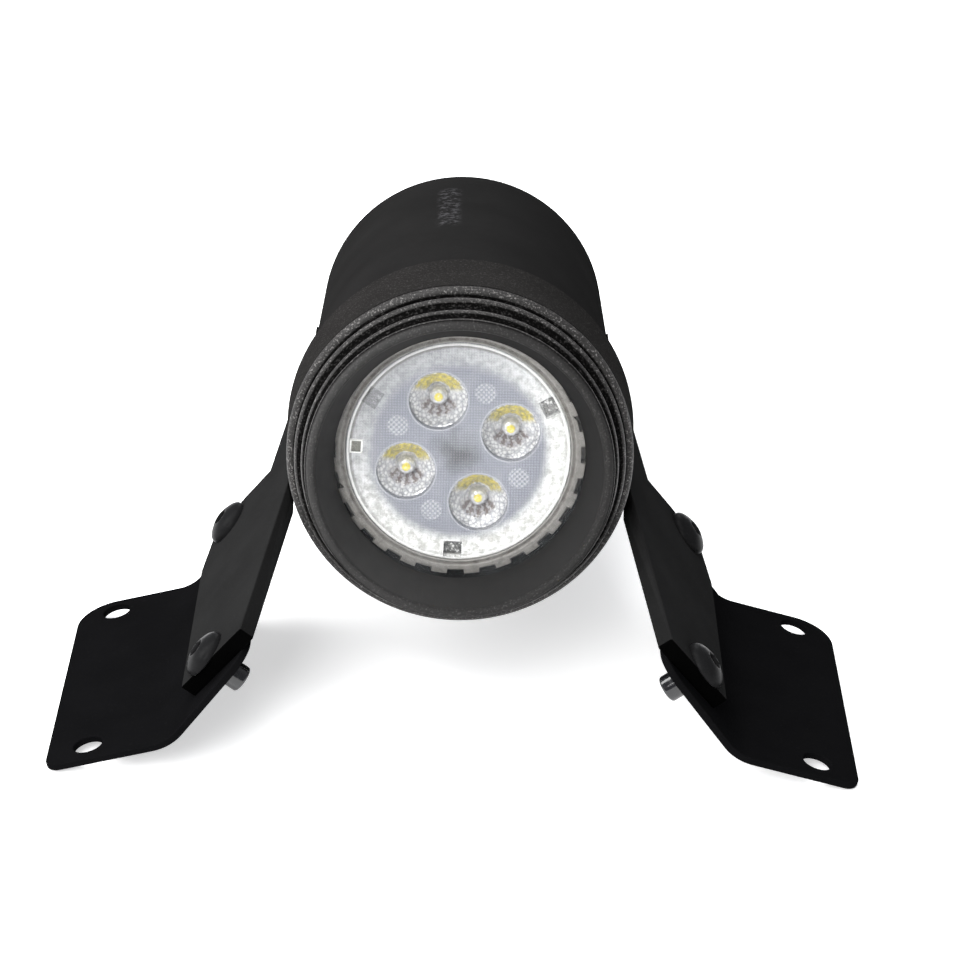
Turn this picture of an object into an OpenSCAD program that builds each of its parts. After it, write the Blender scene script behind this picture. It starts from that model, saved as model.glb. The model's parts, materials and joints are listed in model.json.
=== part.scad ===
// Underwater pond light: a round sealed housing with a screw-on front ring, an MR16 lamp behind a
// cover glass, a cable gland at the rear, and two splayed arms bolted to bent feet.
// Origin: on the standing plane, half way along the light and half way between its feet.
// +Y runs from the lamp face towards the gland, +X to the right when looking along +Y, +Z up.
// A distance "back" runs along the housing, from the front ring's widest edge towards the gland.

/* [Housing] */
// Outer radius of the housing tube
housing_r = 32.5; // [32:0.1:33]
// Length from the front ring's widest edge to the tube's rear edge
housing_len = 125.5; // [122:0.5:140]
// How far the lamp end is tipped up
nose_up = 9.6; // [9:0.1:10]
// Wall of the tube
wall = 4; // [3.8:0.1:4.2]
// Rounding of the tube's rear edge
rear_round = 1.5; // [0.5:0.1:1.5]

/* [Front ring] */
// Radius of the ring at its widest front edge
ring_front_r = 34.6; // [34.4:0.1:35]
// Radius of the ring at its rear edge
ring_rear_r = 35.5; // [35.3:0.1:36]
// Length of the grip behind the widest edge
grip_len = 21.7; // [21:0.1:22.5]
// Length of the nose in front of the widest edge
nose_len = 11.4; // [11:0.1:12]
// Radius of the hole at the nose's lip
lip_r = 28.4; // [28.2:0.1:28.6]
// Radius of the throat in front of the cover glass
throat_r = 25; // [24.8:0.1:25.2]

/* [Lamp] */
// Radius of the lamp's front rim
lamp_r = 25.5; // [25.4:0.1:25.6]
// Distance back to the lamp's face
lamp_face = 1.7; // [1.6:0.1:1.8]
// Slots around the lamp's rim
rim_slots = 24; // [18:2:30]
// Radius of the circle through the centres of the four lens cones
cone_circle_r = 11.2; // [10.8:0.1:11.6]
// Distance between the two lamp pins
pin_gap = 5.33; // [5.2:0.01:5.5]
// Play that the lamp has sideways in its seat
lamp_play = 0.7; // [0:0.1:0.7]

/* [Bracket] */
// Half of the distance between the two bend lines
half_span = 55.8; // [55:0.1:57]
// Lean of the flanges and arms from upright
splay = 36.8; // [36:0.1:38]
// Slope of the feet below the horizontal
foot_slope = 14.6; // [13:0.1:16]
// Thickness of the bent sheet
sheet = 1.5; // [1.2:0.1:1.8]
// Width of a foot from the bend line
foot_w = 24.8; // [23:0.1:28]
// Length of a foot from front to rear
foot_len = 66; // [65:0.5:68]
// Length of the upright flange
flange_len = 70.5; // [70:0.5:72]
// Height of the flange up its slope
flange_h = 25.2; // [24:0.1:26]
// Radius on the hollow side of the bend
bend_r = 9; // [7:0.5:10]
// Diameter of the holes in the feet
foot_hole_d = 5.8; // [4.5:0.1:6.5]
// Distance between the two holes in a foot
foot_hole_gap = 55.6; // [52:0.1:56]

/* [Arm] */
// Thickness of an arm
arm_t = 3.3; // [3:0.1:3.6]
// Rise of the arm's bar towards the rear
bar_rise = 13.4; // [13:0.1:14]
// Width of the arm's bar
bar_w = 12; // [11:0.5:12.5]
// Distance between an arm's two screws
arm_screw_gap = 55.6; // [54:0.1:56]
// Thickness of the shoe that lies on the housing
shoe_t = 2.4; // [2:0.1:2.6]

/* [Fasteners] */
// Head diameter of the arm screws
head_d = 10; // [9:0.1:10.5]
// Thread diameter of the arm screws
thread_d = 4; // [3:0.5:4]
// Diameter of the blind nuts that are pressed into the flanges
nut_d = 5.5; // [5.4:0.1:6]
// How far the blind nuts stand out of the flanges
nut_len = 4.3; // [4:0.1:6]

/* [Cable gland] */
// Distance across the flats of the gland's hexagons
gland_flats = 16; // [15.5:0.5:17]
// Radius of the hole for the cable
cable_r = 3.1; // [2.5:0.1:3.3]

/* [Hidden] */
$fn = 96;

// Fits
running = 0.05;         // radial clearance of a turning or sliding fit
gap = 0.05;             // gap between faces that meet
past = 1;               // how far a cutter runs past a face

// Distances back along the housing
glass_front = -0.8;
glass_back = glass_front + 2;
tube_front = glass_back + 2;
neck_end = grip_len + 0.4;
o_ring_back = 17;
seat_back = lamp_face + 4.3;
ledge_back = seat_back + 2.5;
crest_back = 1.2;
throat_len = 0.8;
shelf_front = 52;
shelf_back = shelf_front + 4;
plate_back = shelf_back + 3;
block_back = plate_back + 13;
cap_front = housing_len + 1;
cap_back = cap_front + 4;
gland_len = 17.5;
washer_t = 0.8;
gland_hex_t = 5;
seal_front = 7;

// Radii about the housing's axis
bore_r = housing_r - wall;
neck_r = housing_r - 1.2;
neck_bore_r = neck_r - wall;
ledge_r = lamp_r - 1.2;
glass_r = 27.5;
shelf_r = 24.6;
cap_r = housing_r - 1.6;
seat_r = lamp_r + lamp_play + 0.1;
boss_circle_r = 25.6;
boss_r = 3.4;
plate_circle_r = 26;
o_ring_r = 1.05;
lip_round = 0.8;
gland_thread_r = 6;
nut_thread_r = 6.4;
seal_r = 4.9;

// Centres of the two ridges on the front ring's nose, as radius and distance back
upper_ridge = [31.7, -2.5];
lower_ridge = [29.9, -6.5];

// Screws into plastic: pilot hole, clearance hole and shank
pilot_r = 1.25;
small_pilot_r = 1.05;
clearance_r = 1.5;
shank_r = 1.2;
small_shank_r = 1;

// The lamp, from its face back
bezel_len = 4.2;
slot_w = 3.5;
slot_floor_r = lamp_r - 0.9;
lens_r = lamp_r - 3;
cone_r = 5.9;
cone_front = lamp_face + 2.05;
cone_back = cone_front + 5.85;
board_front = cone_back + 0.8;
board_back = board_front + 1.6;
heatsink_back = 34;
fin_count = 18;
base_back = 44;
pin_r = 0.75;
pin_root = 6;
pin_back = 50.5;
first_cone = -22;
first_clip = 92;
socket_front = base_back + 0.3;
socket_screw_x = 15;
ear_t = 3;
contact_r = 1.4;
contact_len = 9;
lead_front = socket_front + contact_len + 0.6;
lead_r = 0.9;
block_screw_x = 6.6;
clamp_r = 1.25;
clamp_len = 4.3;

// The loose lamp lies to one side of its seat
lamp_dx = -0.5 * lamp_play;
lamp_dy = -0.65 * lamp_play;

// Arm outline, with its first corner at the top of its front edge
arm_front_y = 1.3;
arm_front_u = 28.3;
arm_low_u = 8.6;
screw_y = 7.8;
screw_u = 16.6;
rear_screw_u = 17.6;
shoe_front = 26;
shoe_back = 92;
shoe_first_angle = 2;
shoe_last_angle = 40;
shoe_screw_angle = 30;
shoe_screw_backs = [42, 78];

// Bracket
bend_angle = 90 - splay - foot_slope;
bend_run = bend_r * tan(bend_angle / 2);
sheet_start = bend_run - 0.05;
foot_hole_y = 5.7;
foot_hole_v = 16.5;

// Places in the row frame
stand_h = foot_w * sin(foot_slope) + sheet * cos(foot_slope);
axis_h = (housing_len - rear_round) * sin(nose_up)
    + (housing_r - rear_round) * cos(nose_up) + rear_round;
axis_y = 37.6;          // the widest edge's centre, back from the feet's front edges
gland_end_r = 5.2;
rear_y = axis_y + (cap_back + gland_len) * cos(nose_up) + gland_end_r * sin(nose_up);
mid_y = rear_y / 2;

module on_housing(back = 0) {
    translate([0, axis_y - mid_y, axis_h])
        rotate([-90 - nose_up, 0, 0])
            translate([0, 0, back])
                children();
}

module on_lamp(back = 0) {
    on_housing(back) translate([lamp_dx, lamp_dy, 0]) children();
}

// x runs along the light, y up the flange, z out of the flange's outer face
module on_flange() {
    translate([half_span, -mid_y, stand_h])
        rotate([0, -splay, 0])
            rotate([90, 0, 90])
                children();
}

// x runs along the light, y outwards along the foot, z down into the sheet
module on_foot() {
    translate([half_span, -mid_y, stand_h])
        rotate([0, foot_slope, 0])
            rotate([180, 0, 90])
                children();
}

module both_sides() {
    children();
    mirror([1, 0, 0]) children();
}

module around(count, radius, start = 0) {
    for (i = [0 : count - 1])
        rotate([0, 0, start + i * 360 / count])
            translate([radius, 0, 0])
                children();
}

module tube(outer_r, inner_r, length) {
    difference() {
        cylinder(r = outer_r, h = length);
        translate([0, 0, -past]) cylinder(r = inner_r, h = length + 2 * past);
    }
}

module hexagon(flats, length) {
    cylinder(r = flats / 2 / cos(30), h = length, $fn = 6);
}

// A screw that points along -z with the underside of its head at z = 0
module pan_screw(head_r, head_h, shank_r, length) {
    translate([0, 0, -length]) cylinder(r = shank_r, h = length);
    difference() {
        rotate_extrude() intersection() {
            translate([0, head_h - 2 * head_r]) circle(r = 2 * head_r);
            square([head_r, head_h]);
        }
        translate([0, 0, head_h / 2 + past]) cube([head_r * 1.3, 0.6, head_h + past], center = true);
    }
}

// ---- Housing and front ring ----

module housing() {
    boss_len = 14;
    boss_below_edge = 0.5;
    cap_pilot = 11;
    plate_pilot = 3.4;
    shoe_pilot = 3;
    color("#2b2b2c") on_housing() difference() {
        union() {
            rotate_extrude() housing_section();
            translate([0, 0, housing_len - boss_len])
                around(4, boss_circle_r, 45)
                    cylinder(r = boss_r, h = boss_len - boss_below_edge);
        }
        translate([0, 0, housing_len - cap_pilot])
            around(4, boss_circle_r, 45)
                cylinder(r = pilot_r, h = cap_pilot + past);
        translate([0, 0, shelf_back - plate_pilot])
            around(2, plate_circle_r)
                cylinder(r = small_pilot_r, h = plate_pilot + past);
        both_sides()
            shoe_screw_places(housing_r - shoe_pilot)
                cylinder(r = pilot_r, h = shoe_pilot + past);
    }
}

module housing_section() {
    chamfer = 0.6;
    groove_w = 2.6;
    difference() {
        union() {
            polygon([
                [seat_r, tube_front], [neck_r - chamfer, tube_front], [neck_r, tube_front + chamfer],
                [neck_r, neck_end], [housing_r, neck_end],
                [housing_r, housing_len - rear_round], [housing_r - rear_round, housing_len],
                [bore_r, housing_len], [bore_r, shelf_back], [shelf_r, shelf_back],
                [shelf_r, shelf_front], [neck_bore_r, shelf_front], [neck_bore_r, ledge_back],
                [ledge_r, ledge_back], [ledge_r, seat_back], [seat_r, seat_back]
            ]);
            translate([housing_r - rear_round, housing_len - rear_round]) circle(r = rear_round);
        }
        translate([neck_r - 2 * o_ring_r, o_ring_back - groove_w / 2])
            square([3 * o_ring_r, groove_w]);
    }
}

module front_ring() {
    crest_r = crest_back + 0.2;
    color("#262627") on_housing() difference() {
        union() {
            rotate_extrude() polygon([
                [0, grip_len], [ring_rear_r - 0.5, grip_len], [ring_rear_r, grip_len - 0.7],
                [ring_front_r, crest_back], [ring_front_r - 1.6, -0.6], [ring_front_r - 2.4, -1.2],
                [upper_ridge[0] - 1.3, -4.6], [lower_ridge[0] - 0.6, -8.6],
                [lip_r + lip_round, lip_round - nose_len], [0, lip_round - nose_len]
            ]);
            ridge([ring_front_r - crest_r, crest_back], crest_r);
            ridge(upper_ridge, 1.45);
            ridge(lower_ridge, 1.25);
            ridge([lip_r + lip_round, lip_round - nose_len], lip_round);
        }
        rotate_extrude() front_ring_inside();
    }
}

// A round ridge about the housing's axis
module ridge(centre, radius) {
    rotate_extrude() translate(centre) circle(r = radius);
}

// The funnel, the throat, the glass's pocket and the bore that turns on the tube's neck
module front_ring_inside() {
    bore = neck_r + running;
    pocket_r = glass_r + running;
    pocket_back = tube_front - 0.4;
    flare = (lip_r - throat_r) / (nose_len + glass_front - lip_round - throat_len);
    polygon([
        [0, -nose_len - past], [lip_r + flare * (past + lip_round), -nose_len - past],
        [lip_r, lip_round - nose_len], [throat_r, glass_front - throat_len],
        [throat_r, glass_front], [pocket_r, glass_front], [pocket_r, pocket_back],
        [bore, pocket_back], [bore, grip_len + past], [0, grip_len + past]
    ]);
}

module cover_glass() {
    color("#dfe8ea", 0.35) on_housing(glass_front + gap)
        cylinder(r = glass_r, h = glass_back - glass_front - gap);
}

module glass_gasket() {
    color("#151515") on_housing(glass_back)
        tube(glass_r - 0.1, lamp_r + 0.9, tube_front - glass_back - gap);
}

module ring_o_ring() {
    color("#101010") on_housing(o_ring_back)
        rotate_extrude() translate([neck_r - o_ring_r, 0]) circle(r = o_ring_r);
}

// ---- Lamp ----

module lamp_bezel() {
    back = lamp_face + bezel_len;
    chamfer = 0.4;
    rebate = lamp_face + 2.2;
    rebate_r = lens_r + 0.1;
    inner_r = lens_r - 0.7;
    slot_depth = bezel_len - 1.4;
    color("#b9b6b1") on_lamp() difference() {
        rotate_extrude() polygon([
            [rebate_r, lamp_face], [lamp_r - chamfer, lamp_face], [lamp_r, lamp_face + chamfer],
            [lamp_r, back], [inner_r, back], [inner_r, rebate], [rebate_r, rebate]
        ]);
        around(rim_slots, slot_floor_r)
            translate([0, -slot_w / 2, lamp_face - past])
                cube([lamp_r - slot_floor_r + past, slot_w, slot_depth + past]);
    }
}

module lamp_lens() {
    set_in = 0.2;
    thickness = 1.8;
    color("#d5dce2", 0.5) on_lamp(lamp_face + set_in) cylinder(r = lens_r, h = thickness);
}

module lens_cones() {
    depth = cone_back - cone_front;
    edge_t = 0.8;
    foot_r = 2.7;
    well_r = 1.9;
    well_front = depth - 1.8;
    color("#f2f2ee", 0.6) on_lamp(cone_front)
        around(4, cone_circle_r, first_cone)
            rotate_extrude() polygon([
                [0, 0], [cone_r, 0], [cone_r, edge_t], [cone_r - 1.2, depth / 2],
                [foot_r, depth], [well_r, depth], [well_r, well_front], [0, well_front]
            ]);
}

module lens_clips() {
    clip = [2.8, 3.6, 1.6];
    color("#6d6d6b") on_lamp(cone_front)
        around(3, lens_r - clip[0] - 0.8, first_clip)
            translate([0, -clip[1] / 2, 0]) cube(clip);
}

module led_chips() {
    chip_w = 3;
    chip_front = cone_back + 0.1;
    color("#f2d64b") on_lamp(chip_front)
        around(4, cone_circle_r, first_cone)
            translate([-chip_w / 2, -chip_w / 2, 0])
                cube([chip_w, chip_w, board_front - chip_front]);
}

module led_board() {
    color("#e9ebec") on_lamp(board_front)
        cylinder(r = lens_r - 1, h = board_back - board_front);
}

module lamp_heatsink() {
    front = lamp_face + bezel_len;
    rim_r = lamp_r - 2.1;
    rim_inner_r = lens_r - 0.9;
    floor_back = board_back + 2;
    core_r = 13.4;
    tail_r = core_r + 1.2;
    hollow_r = core_r - 1.2;
    fin_gap = 2.2;
    color("#8f9194") on_lamp() difference() {
        rotate_extrude() polygon([
            [rim_inner_r, front], [rim_r, front], [rim_r, board_back], [tail_r, heatsink_back],
            [hollow_r, heatsink_back], [hollow_r, floor_back], [0, floor_back], [0, board_back],
            [rim_inner_r, board_back]
        ]);
        translate([0, 0, floor_back + 0.2])
            around(fin_count, core_r)
                translate([0, -fin_gap / 2, 0]) cube([rim_r - core_r + past, fin_gap, heatsink_back]);
    }
}

// The board with its transformer and its capacitor
module driver_board() {
    board = [20, 1.6, 16.5];
    coil = [6, 3.5, 7];
    capacitor_r = 2.6;
    capacitor_h = 5;
    color("#2f6b3c") on_lamp(board_back + 2.5) {
        translate([-board[0] / 2, -board[1] / 2, 0]) cube(board);
        translate([-7, board[1] / 2, 3]) cube(coil);
        translate([4, board[1] / 2, 8]) rotate([-90, 0, 0]) cylinder(r = capacitor_r, h = capacitor_h);
    }
}

module lamp_base() {
    block = [17, 9.6, base_back - heatsink_back];
    color("#d9d6cf") on_lamp(heatsink_back) difference() {
        union() {
            cylinder(r = 14, h = 2);
            translate([-block[0] / 2, -block[1] / 2, 0]) cube(block);
        }
        both_sides()
            translate([pin_gap / 2, 0, pin_root]) cylinder(r = pin_r + gap, h = block[2]);
    }
}

module lamp_pins() {
    pin_front = heatsink_back + pin_root + gap;
    color("#c9b27a") on_lamp(pin_front)
        both_sides()
            translate([pin_gap / 2, 0, 0]) cylinder(r = pin_r, h = pin_back - pin_front);
}

// ---- Socket, wiring and its plate ----

module lamp_socket() {
    length = shelf_back - socket_front;
    body_r = 11;
    ears = [37, 8, ear_t];
    color("#e4e0d8") on_lamp(socket_front) difference() {
        union() {
            cylinder(r = body_r, h = length);
            translate([-ears[0] / 2, -ears[1] / 2, length - ear_t]) cube(ears);
        }
        both_sides() {
            translate([pin_gap / 2, 0, -past]) cylinder(r = contact_r + gap, h = length + 2 * past);
            translate([socket_screw_x, 0, -past]) cylinder(r = shank_r + 0.1, h = length + 2 * past);
        }
    }
}

module socket_contacts() {
    color("#c58c4b") on_lamp(socket_front + 0.5)
        both_sides() translate([pin_gap / 2, 0, 0]) tube(contact_r, pin_r + gap, contact_len);
}

module socket_screws() {
    color("#a9abad") on_lamp(shelf_back - ear_t)
        both_sides()
            translate([socket_screw_x, 0, 0])
                rotate([180, 0, 0]) pan_screw(2.6, 2.2, shank_r, 5.6);
}

module socket_plate() {
    length = plate_back - shelf_back - gap;
    cut = length + 2 * past;
    color("#3c3f42") on_housing(shelf_back + gap) difference() {
        cylinder(r = bore_r - 0.2, h = length);
        translate([0, 0, -past]) {
            around(4, boss_circle_r, 45) cylinder(r = boss_r + 0.5, h = cut);
            around(2, plate_circle_r) cylinder(r = small_shank_r + 0.2, h = cut);
            translate([lamp_dx, lamp_dy, 0]) both_sides() {
                translate([socket_screw_x, 0, 0]) cylinder(r = shank_r + gap, h = cut);
                translate([pin_gap / 2, 0, 0]) cylinder(r = lead_r + 0.4, h = cut);
                translate([block_screw_x, 0, 0]) cylinder(r = small_shank_r + gap, h = cut);
            }
        }
    }
}

module plate_screws() {
    color("#a9abad") on_housing(plate_back)
        around(2, plate_circle_r) pan_screw(2.2, 1.6, small_shank_r, 6);
}

module socket_leads() {
    color("#1d1d1f") on_lamp(lead_front)
        both_sides()
            translate([pin_gap / 2, 0, 0])
                cylinder(r = lead_r, h = plate_back + 5.5 - lead_front);
}

module terminal_block() {
    block = [18, 10, block_back - plate_back];
    cut = block[2] + 2 * past;
    color("#dcdcd6") on_lamp(plate_back) difference() {
        translate([-block[0] / 2, -block[1] / 2, 0]) cube(block);
        both_sides() {
            translate([pin_gap / 2, 0, -past]) cylinder(r = lead_r + 0.3, h = cut);
            translate([block_screw_x, 0, -past]) cylinder(r = small_shank_r + 0.2, h = cut);
            clamp_screw_places() cylinder(r = clamp_r + gap, h = block[1] / 2 + past);
        }
    }
}

module clamp_screw_places() {
    for (along = [3.5, 9.5])
        translate([pin_gap / 2, 0, along]) rotate([90, 0, 0]) children();
}

module clamp_screws() {
    color("#b9bbbd") on_lamp(plate_back)
        both_sides()
            clamp_screw_places()
                translate([0, 0, lead_r + gap]) difference() {
                    cylinder(r = clamp_r, h = clamp_len);
                    translate([-clamp_r - past, -0.25, clamp_len - 0.7])
                        cube([2 * (clamp_r + past), 0.5, past]);
                }
}

module block_screws() {
    color("#a9abad") on_lamp(block_back)
        both_sides() translate([block_screw_x, 0, 0]) pan_screw(1.9, 1.4, small_shank_r, 15.5);
}

// ---- Rear cap and cable gland ----

module rear_gasket() {
    color("#161616") on_housing(housing_len)
        tube(cap_r - 0.1, bore_r + 0.2, cap_front - housing_len - gap);
}

module rear_cap() {
    edge = 1.2;
    flange_t = cap_back - cap_front;
    cut = flange_t + 2 * past;
    spigot_len = 6;
    spigot_r = boss_circle_r - boss_r - 0.7;
    spigot_wall = 3.2;
    color("#2b2b2c") on_housing(cap_front) difference() {
        union() {
            cylinder(r = cap_r, h = flange_t - edge);
            cylinder(r = cap_r - edge, h = flange_t);
            translate([0, 0, flange_t - edge])
                rotate_extrude() translate([cap_r - edge, 0]) circle(r = edge);
            translate([0, 0, -spigot_len])
                tube(spigot_r, spigot_r - spigot_wall, spigot_len + gap);
        }
        translate([0, 0, -past]) cylinder(r = gland_thread_r + gap, h = cut);
        translate([0, 0, -past]) around(4, boss_circle_r, 45) cylinder(r = clearance_r, h = cut);
    }
}

module rear_cap_screws() {
    color("#9fa1a3") on_housing(cap_back)
        around(4, boss_circle_r, 45) pan_screw(2.6, 2, shank_r, 14);
}

module gland_body() {
    tail = 10;
    hex_back = washer_t + gland_hex_t;
    thread_back = 12;
    color("#1c1c1d") on_housing(cap_back) difference() {
        union() {
            translate([0, 0, -tail]) cylinder(r = gland_thread_r, h = tail + past);
            translate([0, 0, washer_t]) hexagon(gland_flats, gland_hex_t);
            translate([0, 0, hex_back]) cylinder(r = nut_thread_r, h = thread_back - hex_back);
        }
        translate([0, 0, -tail - past])
            cylinder(r = cable_r + 0.5, h = tail + thread_back + 2 * past);
        translate([0, 0, seal_front]) cylinder(r = seal_r, h = thread_back - seal_front + past);
    }
}

module gland_washer() {
    color("#101010") on_housing(cap_back) tube(8.6, gland_thread_r + gap, washer_t - gap / 2);
}

module gland_locknut() {
    length = 4;
    color("#1c1c1d") on_housing(cap_front - gap - length) difference() {
        hexagon(gland_flats + 1, length);
        translate([0, 0, -past]) cylinder(r = gland_thread_r + gap, h = length + 2 * past);
    }
}

module gland_seal() {
    straight = 5;
    taper = 1.3;
    color("#0e0e0e") on_housing(cap_back + seal_front + gap) difference() {
        union() {
            cylinder(r = seal_r - running, h = straight);
            translate([0, 0, straight]) cylinder(r1 = seal_r - running, r2 = 4, h = taper);
        }
        translate([0, 0, -past]) cylinder(r = cable_r, h = straight + taper + 2 * past);
    }
}

module gland_nut() {
    length = 11.1;
    hex_t = 6;
    body_r = gland_flats / 2 - 0.2;
    bore = nut_thread_r + running;
    thread_len = 6.6;
    taper = 3.4;
    mouth_r = cable_r + 0.4;
    color("#1c1c1d") on_housing(cap_back + 6.4) difference() {
        union() {
            hexagon(gland_flats, hex_t);
            rotate_extrude() polygon([
                [0, 0], [body_r, 0], [body_r, 7.6], [body_r - 0.8, 9.4], [gland_end_r, length], [0, length]
            ]);
        }
        translate([0, 0, -past]) cylinder(r = bore, h = thread_len + past);
        translate([0, 0, thread_len]) cylinder(r1 = bore, r2 = mouth_r, h = taper);
        translate([0, 0, thread_len + taper - past]) cylinder(r = mouth_r, h = length);
    }
}

// ---- Arms ----

// A point on the arm: some way along its bar's top edge, and then down across the bar
function on_bar(along, down) = [
    arm_front_y + along * cos(bar_rise) + down * sin(bar_rise),
    arm_front_u + along * sin(bar_rise) - down * cos(bar_rise)
];

module arm() {
    difference() {
        union() {
            on_flange() linear_extrude(arm_t) arm_outline();
            on_housing(shoe_front)
                rotate([0, 0, shoe_first_angle])
                    rotate_extrude(angle = shoe_last_angle - shoe_first_angle)
                        translate([housing_r - 2, 0])
                            square([2 + gap + shoe_t, shoe_back - shoe_front]);
        }
        on_housing(-nose_len) cylinder(r = housing_r + gap, h = housing_len);
        on_housing(-nose_len) cylinder(r = ring_rear_r + 0.6, h = nose_len + neck_end + 0.6);
        on_flange() arm_screw_places()
            translate([0, 0, -past]) cylinder(d = thread_d + 0.2, h = arm_t + 2 * past);
        on_housing() shoe_screw_places(housing_r) cylinder(r = clearance_r + 0.1, h = shoe_t + 4);
    }
}

// The plate that the screws go through, and the bar that rises from it to the rear
module arm_outline() {
    front_drop = (arm_front_u - arm_low_u) / cos(bar_rise);
    rear_y = screw_y + arm_screw_gap + 4.6;
    bar_len = 118;
    bar_from = 64;
    polygon([
        on_bar(0, 0), on_bar(0, front_drop), [rear_y - 13.2, arm_low_u],
        [rear_y - 1.7, arm_low_u + 3], [rear_y, arm_low_u + 6], [rear_y, arm_low_u + 14],
        on_bar(bar_from, bar_w), on_bar(bar_len, bar_w), on_bar(bar_len, 0)
    ]);
}

module arm_screw_places() {
    translate([screw_y, screw_u, 0]) children();
    translate([screw_y + arm_screw_gap, rear_screw_u, 0]) children();
}

module shoe_screw_places(radius) {
    for (back = shoe_screw_backs)
        rotate([0, 0, shoe_screw_angle])
            translate([radius, 0, back])
                rotate([0, 90, 0])
                    children();
}

module right_arm() {
    color("#323234") arm();
}

module left_arm() {
    color("#323234") mirror([1, 0, 0]) arm();
}

module shoe_screws() {
    color("#3a3a3c") both_sides() on_housing()
        shoe_screw_places(housing_r + gap + shoe_t + 0.2)
            pan_screw(2.8, 1.8, shank_r, shoe_t + 2.7);
}

// ---- Brackets and their fasteners ----

module bracket() {
    corner = 5;
    difference() {
        union() {
            on_flange() translate([0, 0, -sheet]) linear_extrude(sheet) flange_outline(corner);
            on_foot() linear_extrude(sheet) foot_outline();
            on_foot() translate([0, bend_run, -bend_r])
                rotate([0, 90, 0])
                    rotate([0, 0, 180])
                        rotate_extrude(angle = bend_angle)
                            translate([bend_r, 0]) square([sheet, foot_len]);
        }
        on_flange() arm_screw_places()
            translate([0, 0, -sheet - past]) cylinder(d = nut_d + gap, h = sheet + 2 * past);
        on_foot() foot_hole_places()
            translate([0, 0, -past]) cylinder(d = foot_hole_d, h = sheet + 2 * past);
    }
}

module flange_outline(corner) {
    step = flange_len - foot_len;
    difference() {
        union() {
            translate([0, sheet_start]) square([flange_len, flange_h - sheet_start - corner]);
            translate([corner, sheet_start])
                square([flange_len - 2 * corner, flange_h - sheet_start]);
            translate([corner, flange_h - corner]) circle(r = corner);
            translate([flange_len - corner, flange_h - corner]) circle(r = corner);
        }
        translate([flange_len, bend_run]) circle(r = step);
    }
}

module foot_outline() {
    front_round = 3;
    rear_round_r = 8;
    translate([0, sheet_start])
        square([foot_len - rear_round_r, foot_w - sheet_start - front_round]);
    translate([front_round, sheet_start])
        square([foot_len - front_round - rear_round_r, foot_w - sheet_start]);
    translate([0, sheet_start]) square([foot_len, foot_w - sheet_start - rear_round_r]);
    translate([front_round, foot_w - front_round]) circle(r = front_round);
    translate([foot_len - rear_round_r, foot_w - rear_round_r]) circle(r = rear_round_r);
}

module foot_hole_places() {
    for (along = [foot_hole_y, foot_hole_y + foot_hole_gap])
        translate([along, foot_hole_v, 0]) children();
}

module right_bracket() {
    color("#1e1e20") bracket();
}

module left_bracket() {
    color("#1e1e20") mirror([1, 0, 0]) bracket();
}

module arm_screws() {
    head_h = 2.7;
    dome_r = head_d * 0.62;
    socket_flats = 3;
    socket_depth = 1.5;
    length = arm_t + sheet + nut_len - 1.3;
    color("#29292b") both_sides() on_flange() arm_screw_places() translate([0, 0, arm_t]) {
        translate([0, 0, -length]) cylinder(d = thread_d - 0.1, h = length);
        difference() {
            rotate_extrude() intersection() {
                translate([0, head_h - dome_r]) circle(r = dome_r);
                square([head_d / 2, head_h]);
            }
            translate([0, 0, head_h - socket_depth]) hexagon(socket_flats, socket_depth + past);
        }
    }
}

module blind_nuts() {
    edge = 0.5;
    end_t = 0.9;
    length = sheet + nut_len - gap;
    color("#111113") both_sides() on_flange() arm_screw_places()
        translate([0, 0, -gap]) rotate([180, 0, 0]) difference() {
            union() {
                cylinder(d = nut_d, h = length - edge);
                cylinder(d = nut_d - 2 * edge, h = length);
                translate([0, 0, length - edge])
                    rotate_extrude() translate([nut_d / 2 - edge, 0]) circle(r = edge);
            }
            translate([0, 0, -past]) cylinder(d = thread_d, h = length - end_t + past);
        }
}

housing();
front_ring();
cover_glass();
glass_gasket();
ring_o_ring();
lamp_bezel();
lamp_lens();
lens_cones();
lens_clips();
led_chips();
led_board();
lamp_heatsink();
driver_board();
lamp_base();
lamp_pins();
lamp_socket();
socket_contacts();
socket_screws();
socket_plate();
plate_screws();
socket_leads();
terminal_block();
clamp_screws();
block_screws();
rear_gasket();
rear_cap();
rear_cap_screws();
gland_body();
gland_washer();
gland_locknut();
gland_seal();
gland_nut();
left_arm();
right_arm();
shoe_screws();
left_bracket();
right_bracket();
arm_screws();
blind_nuts();
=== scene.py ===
"""The looks of an underwater pond light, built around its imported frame.

Lengths are in metres. Shapes about the housing's axis are made in millimetres in the housing's own
frame, where x is right, y is down, z runs back from the front ring's widest edge, and are scaled
by MM as they are placed.
"""

import json
import math
import random

import bmesh
import bpy
from mathutils import Matrix, Vector

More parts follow.
